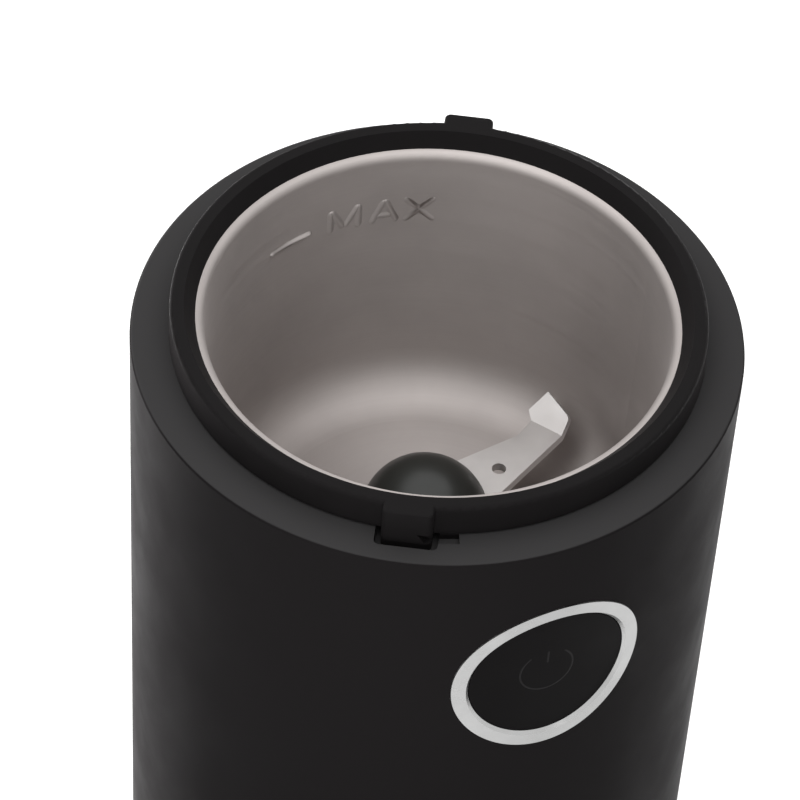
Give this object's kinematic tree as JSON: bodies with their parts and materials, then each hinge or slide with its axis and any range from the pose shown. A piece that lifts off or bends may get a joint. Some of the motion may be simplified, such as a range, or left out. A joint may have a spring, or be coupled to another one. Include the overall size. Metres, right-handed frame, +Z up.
{
  "type": "electric coffee grinder",
  "caption": "Upright round blade grinder without its lid: satin body with a ringed power button, and a lift-out cup with a steel bowl and a domed spinning blade.",
  "frame": {"origin": "centre of the body on the plane that the feet stand on", "axes": "+Z up along the axis of the body, the power button faces -Y, +X to the right seen from the front"},
  "size_m": [0.09, 0.09, 0.14],
  "materials": {
    "body_black": "satin black",
    "ring_silver": "satin silver",
    "button_black": "satin black",
    "spring_steel": "drawn",
    "inner_black": "matt",
    "zinc_steel": "zinc plated",
    "collar_black": "satin black",
    "bowl_steel": "satin",
    "seal_rubber": "matt",
    "brass": "turned",
    "bronze": "sintered",
    "shaft_steel": "ground",
    "blade_steel": "satin",
    "hub_black": "semi-gloss black",
    "nylon": "natural nylon",
    "laminations": "stacked sheet",
    "copper": "enamelled wire",
    "bracket_aluminium": "die cast",
    "carbon": "pressed carbon",
    "switch_plastic": "matt",
    "plunger_plastic": "matt",
    "foot_rubber": "matt",
    "capacitor_plastic": "moulded",
    "lead_plastic": "sleeved"
  },
  "bodies": {
    "body": {"body_shell": "body_black", "button_ring": "ring_silver", "cup_well": "inner_black", "well_screws": "zinc_steel", "button_spring": "spring_steel", "stator_core": "laminations", "field_coils": "copper", "upper_bracket": "bracket_aluminium", "lower_bracket": "bracket_aluminium", "upper_bearing": "shaft_steel", "lower_bearing": "shaft_steel", "motor_bolts": "zinc_steel", "motor_dampers": "foot_rubber", "brush_holders": "brass", "carbon_brushes": "carbon", "brush_springs": "spring_steel", "power_switch": "switch_plastic", "interlock_spring": "spring_steel", "interlock_switch": "switch_plastic", "base_cover": "inner_black", "base_screws": "zinc_steel", "rubber_feet": "foot_rubber", "cord_gland": "foot_rubber", "terminal_block": "plunger_plastic", "suppression_capacitor": "capacitor_plastic", "lead_wires": "lead_plastic"},
    "cup": {"cup_body": "collar_black", "grinding_bowl": "bowl_steel", "bowl_gasket": "seal_rubber", "bearing_housing": "brass", "housing_nut": "brass", "spindle_bushes": "bronze", "shaft_seal": "seal_rubber"},
    "cutter": {"blade": "blade_steel", "blade_hub": "hub_black", "blade_nut": "zinc_steel", "spindle": "shaft_steel", "thrust_washer": "bronze", "driven_coupling": "nylon"},
    "rotor": {"motor_shaft": "shaft_steel", "rotor_core": "laminations", "rotor_winding": "copper", "commutator": "copper", "cooling_fan": "nylon", "drive_coupling": "nylon"},
    "button": {"power_button": "button_black", "switch_plunger": "plunger_plastic"},
    "interlock": {"interlock_slider": "inner_black", "interlock_plunger": "plunger_plastic"}
  },
  "joints": [
    {"name": "cup_lift", "type": "slide", "parent": "body", "child": "cup", "axis": [0, 0, 1], "range_m": [0, 0.07]},
    {"name": "rotor_spin", "type": "hinge", "parent": "body", "child": "rotor", "pos_m": [0, 0, 0.043], "axis": [0, 0, 1], "continuous": true},
    {"name": "cutter_spin", "type": "hinge", "parent": "cup", "child": "cutter", "pos_m": [0, 0, 0.09], "axis": [0, 0, 1], "continuous": true},
    {"name": "button_press", "type": "slide", "parent": "body", "child": "button", "axis": [0, 1, 0], "range_m": [0, 0.0014], "stiffness_N_per_m": 800, "springref_m": -0.002, "deforming": ["button_spring"]},
    {"name": "interlock_press", "type": "slide", "parent": "body", "child": "interlock", "axis": [0, 0, -1], "range_m": [0, 0.002], "stiffness_N_per_m": 250, "springref_m": -0.004, "deforming": ["interlock_spring"]}
  ],
  "couplings": [
    {"joint": "cutter_spin", "follows": "rotor_spin", "ratio": 1}
  ]
}
